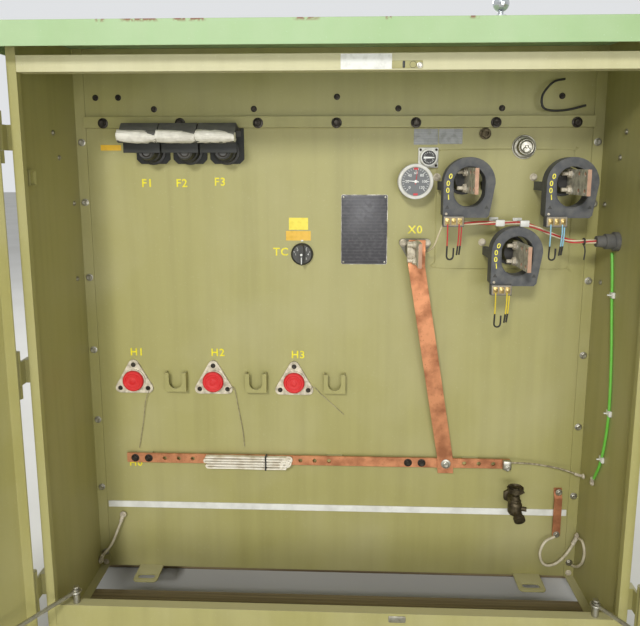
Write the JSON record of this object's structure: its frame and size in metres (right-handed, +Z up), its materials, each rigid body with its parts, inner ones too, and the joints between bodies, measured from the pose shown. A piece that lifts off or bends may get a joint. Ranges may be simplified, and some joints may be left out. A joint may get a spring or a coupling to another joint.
{
  "type": "pad-mounted power transformer",
  "caption": "Pad-mounted power transformer on timber skids, with its terminal cabinet open: bushing wells, fuses, spades in current transformers, tap changer and ground bar.",
  "frame": {"origin": "on the ground, at the middle of the front timber's underside", "axes": "+Z up, -Y the way the terminal cabinet faces, +X to the right of someone who faces it"},
  "size_m": [2.2568, 2.0695, 1.7627],
  "materials": {
    "green_paint": "semi-gloss",
    "roof_paint": "semi-gloss, rusty at the edge",
    "timber": "rough sawn",
    "copper": "dull",
    "tinned_copper": "tinned",
    "aluminium": "mill",
    "steel": "zinc plated",
    "red_cap": "moulded",
    "black_plastic": "moulded",
    "grey_moulding": "cast resin",
    "white_plastic": "moulded",
    "bronze": "dark",
    "green_insulation": "satin",
    "red_insulation": "satin",
    "white_strap": "woven"
  },
  "bodies": {
    "transformer": {"skid_front": "timber", "skid_middle": "timber", "skid_rear": "timber", "tank_body": "green_paint", "tank_cover": "green_paint", "fin_bank_left": "green_paint", "fin_bank_right": "green_paint", "cabinet_side_left": "green_paint", "cabinet_side_right": "green_paint", "cabinet_roof": "roof_paint", "hood_back_panel": "green_paint", "door_header": "green_paint", "front_sill": "green_paint", "stay_post_left": "steel", "stay_post_right": "steel", "ground_bar": "copper", "grounding_strip": "aluminium", "hv_bushing_h1": "steel", "hv_bushing_h2": "steel", "hv_bushing_h3": "steel", "bushing_cap_h1": "red_cap", "bushing_cap_h2": "red_cap", "bushing_cap_h3": "red_cap", "parking_stand_1": "green_paint", "parking_stand_2": "green_paint", "parking_stand_3": "green_paint", "fuse_holder_f1": "black_plastic", "fuse_holder_f2": "black_plastic", "fuse_holder_f3": "black_plastic", "drip_guard_f1": "white_plastic", "drip_guard_f2": "white_plastic", "drip_guard_f3": "white_plastic", "lv_terminal_x0": "tinned_copper", "lv_terminal_x1": "tinned_copper", "lv_terminal_x2": "tinned_copper", "lv_terminal_x3": "tinned_copper", "current_transformer_x1": "grey_moulding", "current_transformer_x2": "grey_moulding", "current_transformer_x3": "grey_moulding", "tap_changer_dial": "black_plastic", "thermometer": "white_plastic", "level_gauge": "white_plastic", "pressure_relief": "steel", "drain_valve": "bronze", "neutral_strap": "copper", "ground_strap": "copper", "strap_bundle": "white_strap", "conduit_fitting": "steel", "ct_leads": "red_insulation", "green_ground_wire": "green_insulation", "drain_wire_h1": "copper", "drain_wire_h2": "copper", "drain_wire_h3": "copper", "roof_ball_stud": "steel"},
    "left_door": {"door_left": "green_paint"},
    "right_door": {"door_right": "green_paint"},
    "left_stay": {"door_stay_left": "steel"},
    "right_stay": {"door_stay_right": "steel"},
    "tap_handle": {"tap_changer_handle": "black_plastic"},
    "valve_handle": {"drain_handle": "bronze"}
  },
  "joints": [
    {"name": "left_door_hinge", "type": "hinge", "parent": "transformer", "child": "left_door", "pos_m": [-0.781, -0.237, 0.88], "axis": [0, 0, 1], "range_deg": [0, 115]},
    {"name": "right_door_hinge", "type": "hinge", "parent": "transformer", "child": "right_door", "pos_m": [0.781, -0.237, 0.88], "axis": [0, 0, -1], "range_deg": [0, 115]},
    {"name": "left_stay_pivot", "type": "hinge", "parent": "transformer", "child": "left_stay", "pos_m": [-0.689, -0.196, 0.262], "axis": [0, 0, 1], "range_deg": [0, 122.4]},
    {"name": "right_stay_pivot", "type": "hinge", "parent": "transformer", "child": "right_stay", "pos_m": [0.689, -0.196, 0.262], "axis": [0, 0, -1], "range_deg": [0, 122.4]},
    {"name": "tap_handle_turn", "type": "hinge", "parent": "transformer", "child": "tap_handle", "pos_m": [-0.099, 0.1471, 1.133], "axis": [0, -1, 0], "range_deg": [-60, 60]},
    {"name": "valve_handle_turn", "type": "hinge", "parent": "transformer", "child": "valve_handle", "pos_m": [0.551, 0.1, 0.4166], "axis": [0, 0, 1], "range_deg": [0, 720]}
  ],
  "couplings": [
    {"joint": "left_stay_pivot", "follows": "left_door_hinge", "ratio": 1.0634},
    {"joint": "right_stay_pivot", "follows": "right_door_hinge", "ratio": 1.0634}
  ]
}
